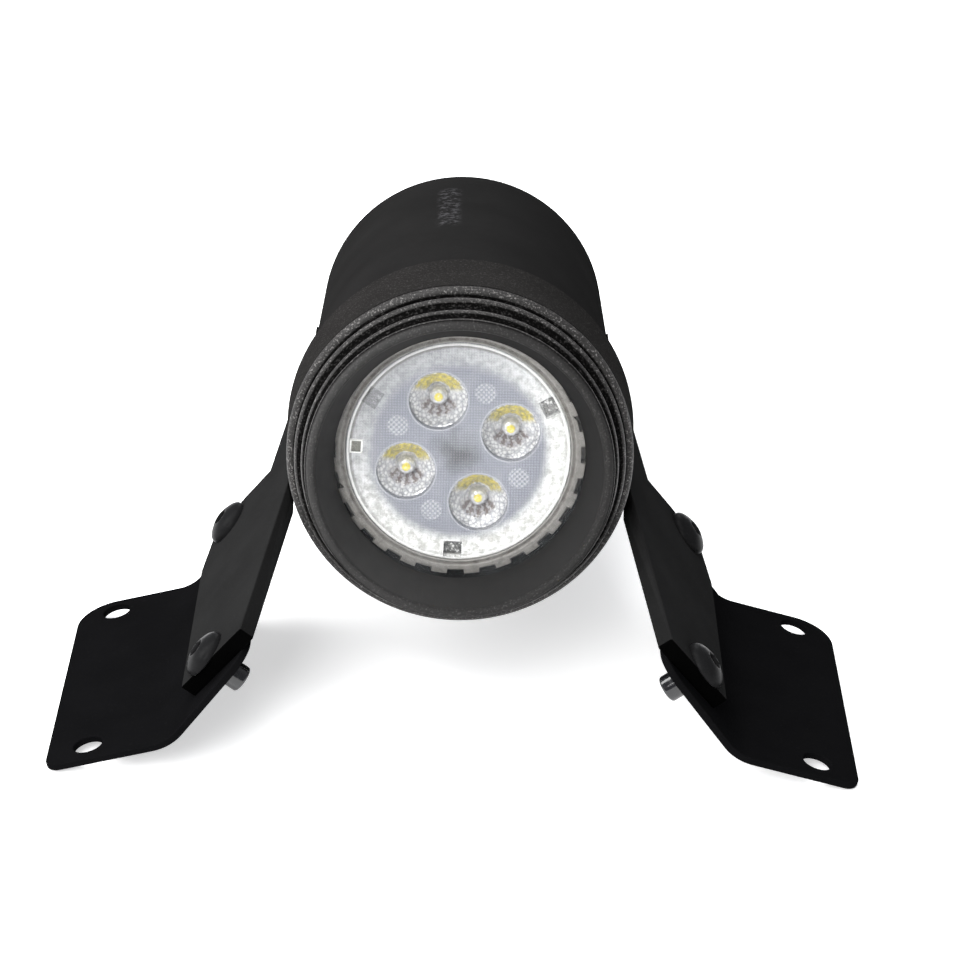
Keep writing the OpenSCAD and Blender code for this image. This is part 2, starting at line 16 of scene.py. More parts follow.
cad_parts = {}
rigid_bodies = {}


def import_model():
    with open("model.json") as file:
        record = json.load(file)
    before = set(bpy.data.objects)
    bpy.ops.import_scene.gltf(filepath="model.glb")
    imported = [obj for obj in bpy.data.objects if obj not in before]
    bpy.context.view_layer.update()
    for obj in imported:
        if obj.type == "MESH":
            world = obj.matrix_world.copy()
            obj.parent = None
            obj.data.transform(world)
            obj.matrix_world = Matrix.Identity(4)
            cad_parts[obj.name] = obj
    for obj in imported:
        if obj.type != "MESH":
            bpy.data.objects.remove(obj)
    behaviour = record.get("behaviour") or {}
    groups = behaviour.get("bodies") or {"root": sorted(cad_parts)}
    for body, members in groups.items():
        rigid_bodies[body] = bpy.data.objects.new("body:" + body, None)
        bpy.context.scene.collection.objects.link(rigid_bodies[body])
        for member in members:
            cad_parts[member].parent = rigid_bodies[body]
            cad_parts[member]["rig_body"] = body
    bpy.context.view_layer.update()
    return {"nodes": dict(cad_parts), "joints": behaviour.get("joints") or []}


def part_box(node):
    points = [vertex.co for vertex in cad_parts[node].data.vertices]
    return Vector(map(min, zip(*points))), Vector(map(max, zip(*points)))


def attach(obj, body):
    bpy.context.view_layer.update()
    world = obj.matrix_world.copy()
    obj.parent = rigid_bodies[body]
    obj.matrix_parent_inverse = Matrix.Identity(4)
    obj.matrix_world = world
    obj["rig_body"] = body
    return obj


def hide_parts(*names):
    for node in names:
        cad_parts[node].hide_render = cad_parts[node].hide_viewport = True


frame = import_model()
nodes = frame["nodes"]

MM = 0.001
random.seed(7)

# ---- Camera, seen from the front, above and a touch to the left ----

CAMERA_AT = Vector((-0.00116, -0.64652, 0.33390))
CAMERA_YAW = math.radians(0.51)
CAMERA_PITCH = math.radians(25.80)
CAMERA_ROLL = math.radians(1.60)
CAMERA_LENS = 123.6
SENSOR_WIDTH = 36

# ---- Places taken from the frame ----

ring_turn = next(j for j in frame["joints"] if j["name"] == "ring_turn")
BACK = -Vector(ring_turn["axis"]).normalized()
RIGHT = Vector((1, 0, 0))
DOWN = BACK.cross(RIGHT)
TURNED = Matrix((RIGHT, DOWN, BACK)).transposed().to_4x4()
HOUSING = Matrix.Translation(Vector(ring_turn["pos_m"])) @ TURNED
TO_HOUSING = HOUSING.inverted()


def housing_points(node):
    """The node's vertices in the housing's frame, in millimetres."""
    return [(TO_HOUSING @ v.co) / MM for v in nodes[node].data.vertices]


def span(node):
    """How far back the node starts and ends."""
    backs = [p.z for p in housing_points(node)]
    return min(backs), max(backs)


def centre(node):
    """Middle of the node across the housing's axis."""
    points = housing_points(node)
    xs, ys = [p.x for p in points], [p.y for p in points]
    return (min(xs) + max(xs)) / 2, (min(ys) + max(ys)) / 2


def reach(node, about=(0, 0)):
    """The node's largest distance from the axis, or from the point about."""
    return max(math.hypot(p.x - about[0], p.y - about[1]) for p in housing_points(node))


def bore(node, about=(0, 0)):
    """The node's smallest distance from the axis, or from the point about."""
    return min(math.hypot(p.x - about[0], p.y - about[1]) for p in housing_points(node))


LAMP_X, LAMP_Y = centre("lamp_bezel")
LAMP_FACE = span("lamp_bezel")[0]
LAMP = HOUSING @ Matrix.Translation(Vector((LAMP_X, LAMP_Y, LAMP_FACE)) * MM)
LAMP_R = reach("lamp_bezel", (LAMP_X, LAMP_Y))
LENS_R = reach("lamp_lens", (LAMP_X, LAMP_Y))
THROAT_R = bore("front_ring")
NECK_R = reach("ring_o_ring") + 0.05
LIP_R = 28.4
CONE_CIRCLE_R = 11.2
FIRST_CONE = math.radians(-22)
CLIP_ANGLES = [math.radians(a) for a in (92, 212, 332)]
CLIP_R = 20.3
GATE_ANGLE = math.radians(182)
GATE_R = 20.4

# ---- Mesh helpers ----


def finish_mesh(name, bm, matrix, body, sharp=30):
    """Turns a bmesh in millimetres into a piece that rides on a body."""
    bmesh.ops.recalc_face_normals(bm, faces=bm.faces)
    mesh = bpy.data.meshes.new(name)
    bm.to_mesh(mesh)
    bm.free()
    mesh.transform(Matrix.Scale(MM, 4))
    mesh.polygons.foreach_set("use_smooth", [True] * len(mesh.polygons))
    mesh.set_sharp_from_angle(angle=math.radians(sharp))
    piece = bpy.data.objects.new(name, mesh)
    bpy.context.scene.collection.objects.link(piece)
    piece.matrix_world = matrix
    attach(piece, body)
    return piece


def radius_at(radius, angle):
    return radius(angle) if callable(radius) else radius


def loft(bm, rings, steps=96, closed=False, start=0.0):
    """Joins rings of (radius, z) about the z axis; a radius may be a function of the angle."""
    loops = []
    for radius, z in rings:
        if not callable(radius) and radius < 1e-6:
            loops.append([bm.verts.new((0, 0, z))])
            continue
        loop = []
        for i in range(steps):
            angle = start + 2 * math.pi * i / steps
            r = radius_at(radius, angle)
            loop.append(bm.verts.new((r * math.cos(angle), r * math.sin(angle), z)))
        loops.append(loop)
    pairs = list(zip(loops, loops[1:]))
    if closed:
        pairs.append((loops[-1], loops[0]))
    for a, b in pairs:
        for i in range(steps):
            j = (i + 1) % steps
            corners = [a[i % len(a)], a[j % len(a)], b[j % len(b)], b[i % len(b)]]
            bm.faces.new(list(dict.fromkeys(corners)))
    return loops


def arc(centre_r, centre_z, radius, first, last, count=8):
    """Points (radius, z) on an arc, with angles in degrees from the outward direction towards the back."""
    points = []
    for i in range(count + 1):
        angle = math.radians(first + (last - first) * i / count)
        points.append((centre_r + radius * math.cos(angle), centre_z + radius * math.sin(angle)))
    return points


def hexagon(flats):
    """A hexagon's radius as a function of the angle."""
    def radius(angle):
        return flats / 2 / math.cos((angle + math.pi / 6) % (math.pi / 3) - math.pi / 6)
    return radius


def smaller(radius, limit):
    """The smaller of a radius function and a number, as where a chamfer cuts a hexagon's corners."""
    return lambda angle: min(radius_at(radius, angle), limit)


def place_copy(bm, matrix, build):
    """Builds a shape at the origin and moves its new vertices by the matrix."""
    before = set(bm.verts)
    build(bm)
    bmesh.ops.transform(bm, matrix=matrix, verts=[v for v in bm.verts if v not in before])


def add_bevel(piece, width, segments=3, limit=40):
    """Rounds the piece's sharp edges by a width in millimetres."""
    bevel = piece.modifiers.new("rounded edges", "BEVEL")
    bevel.width = width * MM
    bevel.segments = segments
    bevel.limit_method = "ANGLE"
    bevel.angle_limit = math.radians(limit)
    bevel.use_clamp_overlap = False
    bevel.harden_normals = True


def rounded_copy(node, slot, width, segments):
    """A CAD node's shape with its flat faces merged and its edges rounded."""
    bm = bmesh.new()
    bm.from_mesh(nodes[node].data)
    bmesh.ops.remove_doubles(bm, verts=bm.verts, dist=0.004 * MM)
    bmesh.ops.dissolve_limit(bm, angle_limit=math.radians(0.6), verts=bm.verts, edges=bm.edges)
    bmesh.ops.transform(bm, matrix=Matrix.Scale(1 / MM, 4), verts=bm.verts)
    piece = finish_mesh(node + "_detail", bm, Matrix.Identity(4), nodes[node]["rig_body"], 30)
    add_bevel(piece, width, segments)
    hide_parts(node)
    wear(piece, slot)


# ---- Material helpers ----


class Shader:
    """A material's node tree with short calls for the nodes that the finishes share."""

    def __init__(self, name):
        self.mat = bpy.data.materials.new(name)
        self.mat.use_nodes = True
        self.tree = self.mat.node_tree
        self.tree.nodes.clear()
        self.out = self.tree.nodes.new("ShaderNodeOutputMaterial")
        self.bsdf = self.tree.nodes.new("ShaderNodeBsdfPrincipled")
        self.tree.links.new(self.bsdf.outputs[0], self.out.inputs[0])
        coordinates = self.tree.nodes.new("ShaderNodeTexCoord")
        self.mm = self.vector("SCALE", coordinates.outputs["Object"], scale=1 / MM)
        self.normal = coordinates.outputs["Normal"]

    def put(self, socket, value):
        """Links a socket to another node's output, or sets it to a number or colour."""
        if isinstance(value, bpy.types.NodeSocket):
            self.tree.links.new(value, socket)
        elif value is not None:
            socket.default_value = value

    def set(self, **values):
        """Sets the shader's own sockets, such as base_color or roughness."""
        for key, value in values.items():
            self.put(self.bsdf.inputs[key.replace("_", " ").title().replace("Ior", "IOR")], value)

    def vector(self, operation, a, b=None, scale=None):
        node = self.tree.nodes.new("ShaderNodeVectorMath")
        node.operation = operation
        self.put(node.inputs[0], a)
        self.put(node.inputs[1], b)
        if scale is not None:
            node.inputs["Scale"].default_value = scale
        return node.outputs["Value" if operation in ("LENGTH", "DOT_PRODUCT", "DISTANCE") else "Vector"]

    def math(self, operation, a, b=None, c=None):
        node = self.tree.nodes.new("ShaderNodeMath")
        node.operation = operation
        for socket, value in zip(node.inputs, (a, b, c)):
            self.put(socket, value)
        return node.outputs[0]

    def radius(self, x, y):
        """Distance of the point x, y from the origin."""
        return self.math("SQRT", self.math("ADD", self.math("MULTIPLY", x, x), self.math("MULTIPLY", y, y)))

    def noise(self, size, detail=3.0, rough=0.55, at=None):
        """Noise from 0 to 1 whose features are about size millimetres."""
        node = self.tree.nodes.new("ShaderNodeTexNoise")
        self.put(node.inputs["Vector"], at or self.mm)
        node.inputs["Scale"].default_value = 1 / size
        node.inputs["Detail"].default_value = detail
        node.inputs["Roughness"].default_value = rough
        return node.outputs["Fac"]

    def cells(self, size, feature="F1"):
        """Distances in a pattern of cells that are about size millimetres across."""
        node = self.tree.nodes.new("ShaderNodeTexVoronoi")
        node.feature = feature
        self.put(node.inputs["Vector"], self.mm)
        node.inputs["Scale"].default_value = 1 / size
        return node.outputs["Distance"]

    def ramp(self, value, low, high, to_low=0.0, to_high=1.0, smooth=True):
        """Maps value from low..high to to_low..to_high, and holds it outside."""
        node = self.tree.nodes.new("ShaderNodeMapRange")
        node.interpolation_type = "SMOOTHSTEP" if smooth else "LINEAR"
        for socket, number in zip(node.inputs, (value, low, high, to_low, to_high)):
            self.put(socket, number)
        return node.outputs[0]

    def mix(self, share, a, b):
        """Mixes two colours."""
        node = self.tree.nodes.new("ShaderNodeMix")
        node.data_type = "RGBA"
        self.put(node.inputs[0], share)
        self.put(node.inputs[6], (*a, 1) if isinstance(a, tuple) else a)
        self.put(node.inputs[7], (*b, 1) if isinstance(b, tuple) else b)
        return node.outputs[2]

    def split(self, vector):
        node = self.tree.nodes.new("ShaderNodeSeparateXYZ")
        self.put(node.inputs[0], vector)
        return node.outputs

    def attribute(self, name):
        node = self.tree.nodes.new("ShaderNodeAttribute")
        node.attribute_name = name
        return node.outputs["Vector"]

    def bump(self, height, distance, strength=1.0, normal=None):
        """A bump of the given height in millimetres."""
        node = self.tree.nodes.new("ShaderNodeBump")
        node.inputs["Distance"].default_value = distance * MM
        node.inputs["Strength"].default_value = strength
        self.put(node.inputs["Height"], height)
        if normal is not None:
            self.put(node.inputs["Normal"], normal)
        return node.outputs[0]

    def edge(self, radius):
        """A normal rounded at the edges, and how near an edge is, from 0 to 1."""
        bevel = self.tree.nodes.new("ShaderNodeBevel")
        bevel.samples = 6
        bevel.inputs["Radius"].default_value = radius * MM
        plain = self.tree.nodes.new("ShaderNodeNewGeometry").outputs["Normal"]
        turned = self.vector("DOT_PRODUCT", bevel.outputs[0], plain)
        return bevel.outputs[0], self.ramp(turned, 0.998, 0.90)


def tinted(colour, by):
    return tuple(c * by for c in colour)


def painted(name, colour, rough, grain, size=0.28, specular=0.2, wear_and_edge_highlight=0.5, front_shade=0.0, edge=0.22):
    """Painted or moulded black: fine grain, faint blotches, edges lighter partly from wear and partly as a
    painted highlight, and faces turned to the front darkened as painted shade.
    """
    s = Shader(name)
    rounded, near_edge = s.edge(edge)
    fine = s.noise(size, 4, 0.6)
    speck = s.ramp(s.noise(size * 1.7, 2, 0.7), 0.60, 0.78)
    base = s.mix(s.noise(14, 3), tinted(colour, 0.72), tinted(colour, 1.28))
    base = s.mix(s.math("MULTIPLY", speck, 0.35), base, tinted(colour, 2.4))
    # Painted shade: faces turned towards the front, where little light falls, are darkened.
    if front_shade:
        facing = s.ramp(s.split(s.normal)[1], -0.12, -0.4)
        base = s.mix(s.math("MULTIPLY", facing, front_shade), base, tinted(colour, 0.04))
    # Lighter edges: partly wear, partly a painted edge highlight.
    base = s.mix(s.math("MULTIPLY", near_edge, wear_and_edge_highlight), base, tinted(colour, 3.4))
    rough_map = s.math("ADD", rough - 0.06, s.math("MULTIPLY", s.noise(3.5, 4), 0.12))
    height = s.math("ADD", fine, s.math("MULTIPLY", s.noise(size * 3.4, 3), 0.7))
    s.set(base_color=base, roughness=rough_map, normal=s.bump(height, grain, 1, rounded))
    s.bsdf.inputs["Specular IOR Level"].default_value = specular
    return s.mat


def metal(name, colour, rough):
    """Bare metal with fine brushed lines."""
    s = Shader(name)
    rounded, near_edge = s.edge(0.12)
    stretched = s.vector("MULTIPLY", s.mm, (1.0, 9.0, 9.0))
    lines = s.noise(1.1, 3, 0.6, stretched)
    base = s.mix(s.noise(5), tinted(colour, 0.8), tinted(colour, 1.1))
    base = s.mix(s.math("MULTIPLY", near_edge, 0.4), base, tinted(colour, 1.3))
    rough_map = s.ramp(lines, 0.3, 0.7, rough - 0.08, rough + 0.12, False)
    s.set(base_color=base, roughness=rough_map, normal=s.bump(lines, 0.01, 0.6, rounded))
    s.bsdf.inputs["Metallic"].default_value = 1
    return s.mat


def moulded(name, colour, rough=0.5, grain=0.02, variation=0.12, specular=0.4):
    """Plain moulded plastic, rubber, ceramic or board with a light orange peel."""
    s = Shader(name)
    rounded, near_edge = s.edge(0.2)
    base = s.mix(s.noise(6, 4), tinted(colour, 1 - variation), tinted(colour, 1 + variation))
    base = s.mix(s.math("MULTIPLY", near_edge, 0.3), base, tinted(colour, 1.25))
    rough_map = s.math("ADD", rough - 0.05, s.math("MULTIPLY", s.noise(2.2, 3), 0.1))
    s.set(base_color=base, roughness=rough_map, normal=s.bump(s.noise(0.6, 3), grain, 1, rounded))
    s.bsdf.inputs["Specular IOR Level"].default_value = specular
    return s.mat


# ---- Materials ----


def housing_black():
    """Matt black with a rough scuffed strip along the top near the rear."""
    s = Shader("housing_black")
    rounded, near_edge = s.edge(0.3)
    x, y, z = s.split(s.mm)
    across = s.ramp(s.math("ABSOLUTE", s.math("SUBTRACT", x, SCUFF_X)), 1.2, 3.2, 1, 0)
    along = s.math("MULTIPLY", s.ramp(y, SCUFF_FROM, SCUFF_FROM + 6), s.ramp(y, SCUFF_TO - 5, SCUFF_TO, 1, 0))
    above = s.ramp(z, SCUFF_ABOVE, SCUFF_ABOVE + 4)
    scuff = s.math("MULTIPLY", s.math("MULTIPLY", across, along), above)
    scuff = s.math("MULTIPLY", scuff, s.ramp(s.noise(1.5, 3, 0.7), 0.45, 0.62))
    fine = s.noise(0.26, 4, 0.6)
    speck = s.ramp(s.noise(0.42, 2, 0.7), 0.62, 0.8)
    tone = (0.0126, 0.0124, 0.0123)
    base = s.mix(s.noise(16, 3), tinted(tone, 0.8), tinted(tone, 1.2))
    base = s.mix(s.math("MULTIPLY", speck, 0.4), base, tinted(tone, 2.8))
    base = s.mix(s.math("MULTIPLY", near_edge, 0.25), base, tinted(tone, 2.5))
    base = s.mix(s.math("MULTIPLY", scuff, 0.5), base, (0.085, 0.083, 0.088))
    rough = s.math("SUBTRACT", s.math("ADD", 0.52, s.math("MULTIPLY", s.noise(4, 3), 0.12)),
                   s.math("MULTIPLY", scuff, 0.2))
    fine_bump = s.bump(fine, 0.035, 1, rounded)
    height = s.math("MULTIPLY", scuff, s.noise(0.9, 3, 0.7))
    s.set(base_color=base, roughness=rough, normal=s.bump(height, 0.35, 1, fine_bump))
    s.bsdf.inputs["Specular IOR Level"].default_value = 0.0
    return s.mat


def ring_black():
    """Black front ring: grain with a painted highlight and painted glints on the nose's crests, painted shade
    in its grooves, and a smoother funnel painted lighter towards the left.
    """
    s = Shader("ring_black")
    crest_highlight, funnel, nose = s.split(s.attribute("zone"))
    fine = s.noise(0.24, 4, 0.65)
    coarse = s.noise(0.62, 3, 0.7)
    speck = s.ramp(s.noise(0.45, 2, 0.75), 0.55, 0.66)
    tone = (0.0150, 0.0144, 0.0140)
    base = s.mix(s.noise(12, 3), tinted(tone, 0.75), tinted(tone, 1.3))
    # Painted shade: the nose away from its crests, in the grooves, is darkened to a tenth of its tone.
    base = s.mix(s.math("MULTIPLY", nose, s.ramp(crest_highlight, 0, 0.5, 0.95, 0)), base, tinted(tone, 0.1))
    # Painted highlight on the crests, and bright painted glints among the specks of grain there.
    base = s.mix(s.math("MULTIPLY", crest_highlight, s.ramp(coarse, 0.35, 0.65, 0.25, 0.9)), base, tinted(tone, 2.2))
    base = s.mix(s.math("MULTIPLY", speck, s.ramp(crest_highlight, 0, 1, 0.14, 0.95)), base, tinted(tone, 10.0))
    # Painted light: the funnel is lighter towards the left, where the light falls.
    painted_light_leftward = s.ramp(s.split(s.mm)[0], -28, 10, 1, 0)
    funnel_painted_light = s.mix(painted_light_leftward, (0.0260, 0.0256, 0.0253), (0.0560, 0.0550, 0.0545))
    base = s.mix(funnel, base, s.mix(s.math("MULTIPLY", s.noise(5, 3), 0.5), funnel_painted_light, (0.0200, 0.0198, 0.0196)))
    rough = s.math("ADD", s.ramp(crest_highlight, 0, 1, 0.55, 0.34), s.math("MULTIPLY", s.noise(2.8, 3), 0.12))
    rough = s.math("ADD", rough, s.math("MULTIPLY", funnel, 0.1))
    grain = s.math("ADD", s.math("MULTIPLY", fine, 0.6), s.math("MULTIPLY", coarse, nose))
    s.set(base_color=base, roughness=rough, normal=s.bump(grain, 0.09))
    s.put(s.bsdf.inputs["Specular IOR Level"], s.math("MULTIPLY", crest_highlight, 0.12))
    return s.mat


def cover_glass():
    """Very clear glass with faint smears."""
    s = Shader("cover_glass")
    smear = s.noise(9, 4, 0.6)
    s.set(base_color=s.mix(smear, (0.55, 0.58, 0.60), (0.70, 0.73, 0.75)))
    s.set(roughness=s.ramp(smear, 0.3, 0.8, 0.02, 0.09, False))
    s.set(normal=s.bump(s.noise(14, 2), 0.01))
    s.set(alpha=s.ramp(smear, 0.35, 0.75, 0.012, 0.03))
    return s.mat


def lens_clear():
    """Lamp lens: frosted between the cones, clear over the cones and clips, with a bright band at its rim
    painted lighter towards the lower right.
    """
    s = Shader("lens_clear")
    x, y = s.split(s.mm)[:2]
    out = s.radius(x, y)
    clear = cone_mask(s, x, y, CONE_CIRCLE_R, FIRST_CONE, 5.75, 6.0)
    for angle, share in zip(CLIP_ANGLES, (1.0, 0.45, 0.85)):
        shown = window_mask(s, x, y, angle, CLIP_R, 1.5, 1.75)
        ragged = s.ramp(s.noise(1.1, 3, 0.7), 0.30, 0.46)
        clear = s.math("MAXIMUM", clear, s.math("MULTIPLY", s.math("MULTIPLY", shown, ragged), share))
    patches = cone_mask(s, x, y, 13.2, FIRST_CONE + math.pi / 4, 1.9, 2.3)
    weave = s.math("MULTIPLY", s.math("SINE", s.math("MULTIPLY", s.math("ADD", x, y), 5.6)),
                   s.math("SINE", s.math("MULTIPLY", s.math("SUBTRACT", x, y), 5.6)))
    dots = s.math("MULTIPLY", s.math("SINE", s.math("MULTIPLY", x, 6.2)),
                  s.math("SINE", s.math("MULTIPLY", y, 6.2)))
    toward = s.math("ADD", s.math("MULTIPLY", x, 0.50), s.math("MULTIPLY", y, 0.86))
    middle = s.ramp(s.math("ADD", out, s.math("MULTIPLY", s.noise(4, 3), 5)), 2.6, 9.5)
    base = s.mix(middle, (0.055, 0.057, 0.062), (0.205, 0.215, 0.25))
    base = s.mix(s.math("MULTIPLY", s.ramp(s.noise(7, 3), 0.38, 0.7), 0.4), base, (0.30, 0.31, 0.335))
    base = s.mix(s.ramp(weave, 0.0, 0.8, 0, 0.26), base, (0.46, 0.47, 0.50))
    base = s.mix(s.math("MULTIPLY", s.ramp(weave, 0.0, -0.8), 0.22), base, (0.11, 0.115, 0.135))
    base = s.mix(s.math("MULTIPLY", patches, s.ramp(dots, -0.2, 0.5, 0.12, 0.5)), base, (0.60, 0.61, 0.64))
    # Painted light: the rim band is brighter towards the lower right, where the light falls.
    band_painted_light = s.ramp(toward, -20, 14, 0.34, 1.0)
    band = s.math("MULTIPLY", s.ramp(out, 16.4, 19.4), band_painted_light)
    rim_tone = s.mix(s.ramp(s.noise(1.5, 4, 0.75), 0.35, 0.65), (0.52, 0.52, 0.49), (0.97, 0.97, 0.95))
    base = s.mix(band, base, rim_tone)
    shade = s.math("MULTIPLY", s.ramp(out, 21.1, 21.5), s.ramp(out, 21.7, 22.0, 1, 0))
    base = s.mix(s.math("MULTIPLY", shade, s.ramp(toward, -20, 14, 0.75, 0.25)), base, (0.16, 0.155, 0.14))
    line = s.math("MULTIPLY", s.ramp(out, 21.7, 21.95), s.ramp(out, 22.15, 22.4, 1, 0))
    base = s.mix(s.math("MULTIPLY", line, 0.8), base, (0.9, 0.9, 0.88))
    gate = window_mask(s, x, y, GATE_ANGLE, GATE_R, 1.2, 1.35)
    hollow = window_mask(s, x, y, GATE_ANGLE, GATE_R, 0.85, 1.0)
    base = s.mix(gate, base, (0.95, 0.95, 0.92))
    base = s.mix(hollow, base, s.mix(s.noise(0.8, 3), (0.10, 0.10, 0.085), (0.24, 0.235, 0.20)))
    ring = cone_mask(s, x, y, CONE_CIRCLE_R, FIRST_CONE, 6.0, 6.35)
    base = s.mix(s.math("MULTIPLY", ring, 0.25), base, (0.7, 0.71, 0.73))
    height = s.math("ADD", s.math("MULTIPLY", weave, 0.6), s.math("MULTIPLY", patches, dots))
    s.set(base_color=base, normal=s.bump(height, 0.07))
    s.set(roughness=s.ramp(band, 0, 1, 0.36, 0.22))
    s.set(alpha=s.ramp(clear, 0, 1, 0.985, 0.05, False))
    s.bsdf.inputs["Specular IOR Level"].default_value = 0.4
    s.bsdf.inputs["Coat Weight"].default_value = 0.25
    s.bsdf.inputs["Coat Roughness"].default_value = 0.08
    return s.mat


def cone_mask(s, x, y, circle_r, first, funnel_painted_light, outer):
    """1 inside four discs on a circle, fading to 0 from the inner to the outer radius."""
    found = None
    for i in range(4):
        angle = first + i * math.pi / 2
        dx = s.math("SUBTRACT", x, circle_r * math.cos(angle))
        dy = s.math("SUBTRACT", y, circle_r * math.sin(angle))
        disc = s.ramp(s.radius(dx, dy), funnel_painted_light, outer, 1, 0)
        found = disc if found is None else s.math("MAXIMUM", found, disc)
    return found


def window_mask(s, x, y, angle, radius, half_out, half_across):
    """1 inside a small rectangle at an angle and radius."""
    out = s.math("ADD", s.math("MULTIPLY", x, math.cos(angle)), s.math("MULTIPLY", y, math.sin(angle)))
    across = s.math("SUBTRACT", s.math("MULTIPLY", y, math.cos(angle)),
                    s.math("MULTIPLY", x, math.sin(angle)))
    near = s.ramp(s.math("ABSOLUTE", s.math("SUBTRACT", out, radius)), half_out, half_out + 0.2, 1, 0)
    return s.math("MULTIPLY", near, s.ramp(s.math("ABSOLUTE", across), half_across, half_across + 0.2, 1, 0))


def cone_crystal():
    """Moulded lens cone with painted reflections: white facets for the lights, the yellow phosphor in an arc
    above and as a spot at its heart, and brown streaks below.
    """
    s = Shader("cone_crystal")
    x, y = s.split(s.attribute("place"))[:2]
    out = s.radius(x, y)
    turn = s.math("ARCTAN2", x, y)
    lift = s.math("DIVIDE", y, s.math("MAXIMUM", out, 0.05))
    grain = s.noise(0.55, 3, 0.7)
    spread = s.math("ADD", out, s.math("MULTIPLY", s.math("SUBTRACT", grain, 0.5), 1.5))
    facets = s.cells(0.8, "DISTANCE_TO_EDGE")
    tone = s.ramp(s.cells(0.8), 0.2, 0.7, 1, 0)
    # Painted reflection: near-white facets stand in for the lights the cone reflects.
    base = s.mix(tone, (0.66, 0.67, 0.70), (1.0, 1.0, 1.0))
    lines = s.math("MULTIPLY", s.ramp(facets, 0.11, 0.02), s.ramp(out, 3.2, 5.6, 0.12, 0.5))
    base = s.mix(lines, base, (0.14, 0.14, 0.15))
    rays = s.math("SINE", s.math("ADD", s.math("MULTIPLY", turn, 13), s.math("MULTIPLY", grain, 11)))
    low = s.math("MULTIPLY", s.ramp(lift, -0.1, -0.55), s.ramp(spread, 1.5, 2.0))
    low = s.math("MULTIPLY", low, s.ramp(spread, 3.7, 4.3, 1, 0))
    base = s.mix(s.math("MULTIPLY", low, s.ramp(rays, -0.8, 0.6, 0.3, 0.85)), base, (0.150, 0.100, 0.082))
    # Painted reflection of the yellow phosphor, in an arc above the middle.
    high = s.math("MULTIPLY", s.ramp(lift, 0.2, 0.6), s.ramp(spread, 2.3, 2.9))
    high = s.math("MULTIPLY", high, s.ramp(spread, 4.9, 5.4, 1, 0))
    phosphor_reflection = s.mix(s.ramp(s.noise(0.9, 3, 0.7), 0.35, 0.65), (0.36, 0.33, 0.09), (0.90, 0.72, 0.05))
    base = s.mix(s.math("MULTIPLY", high, 0.92), base, phosphor_reflection)
    dim = s.math("MULTIPLY", s.ramp(out, 1.25, 1.6), s.ramp(out, 2.1, 2.5, 1, 0))
    base = s.mix(s.math("MULTIPLY", dim, 0.45), base, (0.20, 0.19, 0.17))
    # Painted reflection of the phosphor as a yellow spot at the heart.
    phosphor_spot_reflection = s.math("MULTIPLY", s.ramp(out, 1.05, 0.7), s.ramp(s.noise(0.5, 2), 0.3, 0.5, 0.5, 1))
    base = s.mix(phosphor_spot_reflection, base, (0.80, 0.66, 0.05))
    s.set(base_color=base, roughness=s.ramp(grain, 0.3, 0.7, 0.05, 0.22), normal=s.bump(facets, 0.12))
    s.bsdf.inputs["Metallic"].default_value = 0.15
    s.bsdf.inputs["Specular IOR Level"].default_value = 0.8
    s.bsdf.inputs["Coat Weight"].default_value = 0.6
    s.bsdf.inputs["Coat Roughness"].default_value = 0.04
    return s.mat


def bezel_grey():
    """Warm grey moulded rim: a light outer band, a soiled groove and a light inner edge."""
    s = Shader("bezel_grey")
    rounded, near_edge = s.edge(0.15)
    x, y = s.split(s.mm)[:2]
    out = s.radius(x, y)
    groove = s.math("MULTIPLY", s.ramp(out, LENS_R + 0.35, LENS_R + 0.6),
                    s.ramp(out, LENS_R + 0.8, LENS_R + 1.2, 1, 0))
    soil = s.ramp(s.noise(1.6, 4, 0.7), 0.40, 0.72)
    base = s.mix(soil, (0.235, 0.225, 0.208), (0.155, 0.147, 0.134))
    base = s.mix(s.math("MULTIPLY", groove, s.ramp(soil, 0, 1, 0.45, 0.85)), base, (0.062, 0.054, 0.044))
    base = s.mix(s.math("MULTIPLY", s.ramp(out, LENS_R + 0.3, LENS_R + 0.15), 0.6), base, (0.36, 0.35, 0.33))
    base = s.mix(s.math("MULTIPLY", near_edge, 0.4), base, (0.40, 0.39, 0.37))
    s.set(base_color=base, normal=s.bump(s.noise(0.4, 3), 0.03, 1, rounded))
    s.set(roughness=s.ramp(s.noise(3), 0.3, 0.7, 0.42, 0.6))
    s.bsdf.inputs["Specular IOR Level"].default_value = 0.3
    return s.mat


def clip_grey():
    """Mottled dark grey clip, rough and soiled."""
    s = Shader("clip_grey")
    mottle = s.ramp(s.noise(0.9, 4, 0.75), 0.38, 0.60)
    base = s.mix(mottle, (0.018, 0.017, 0.016), (0.14, 0.137, 0.13))
    s.set(base_color=base, roughness=s.ramp(mottle, 0, 1, 0.35, 0.7), normal=s.bump(mottle, 0.1))
    return s.mat


def phosphor_yellow():
    """Gritty yellow phosphor of the LED chips."""
    s = Shader("phosphor_yellow")
    grit = s.noise(0.25, 3)
    base = s.mix(grit, (0.72, 0.56, 0.05), (0.92, 0.80, 0.16))
    s.set(base_color=base, roughness=s.ramp(grit, 0.3, 0.7, 0.35, 0.55), normal=s.bump(grit, 0.02))
    return s.mat


def nut_black():
    """Glossy black plating."""
    s = Shader("nut_black")
    ripple = s.noise(1.3, 3)
    base = s.mix(s.noise(0.5, 3), (0.002, 0.002, 0.003), (0.007, 0.007, 0.008))
    s.set(base_color=base, roughness=s.ramp(ripple, 0.3, 0.7, 0.10, 0.22), normal=s.bump(ripple, 0.02))
    s.bsdf.inputs["Specular IOR Level"].default_value = 0.5
    s.bsdf.inputs["Coat Weight"].default_value = 0.2
    s.bsdf.inputs["Coat Roughness"].default_value = 0.06
    return s.mat


housing_low, housing_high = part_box("housing")
SCUFF_X = -3.5
SCUFF_FROM = housing_low.y / MM + 74
SCUFF_TO = housing_low.y / MM + 118
SCUFF_ABOVE = (housing_low.z + (housing_high.z - housing_low.z) * 0.7) / MM

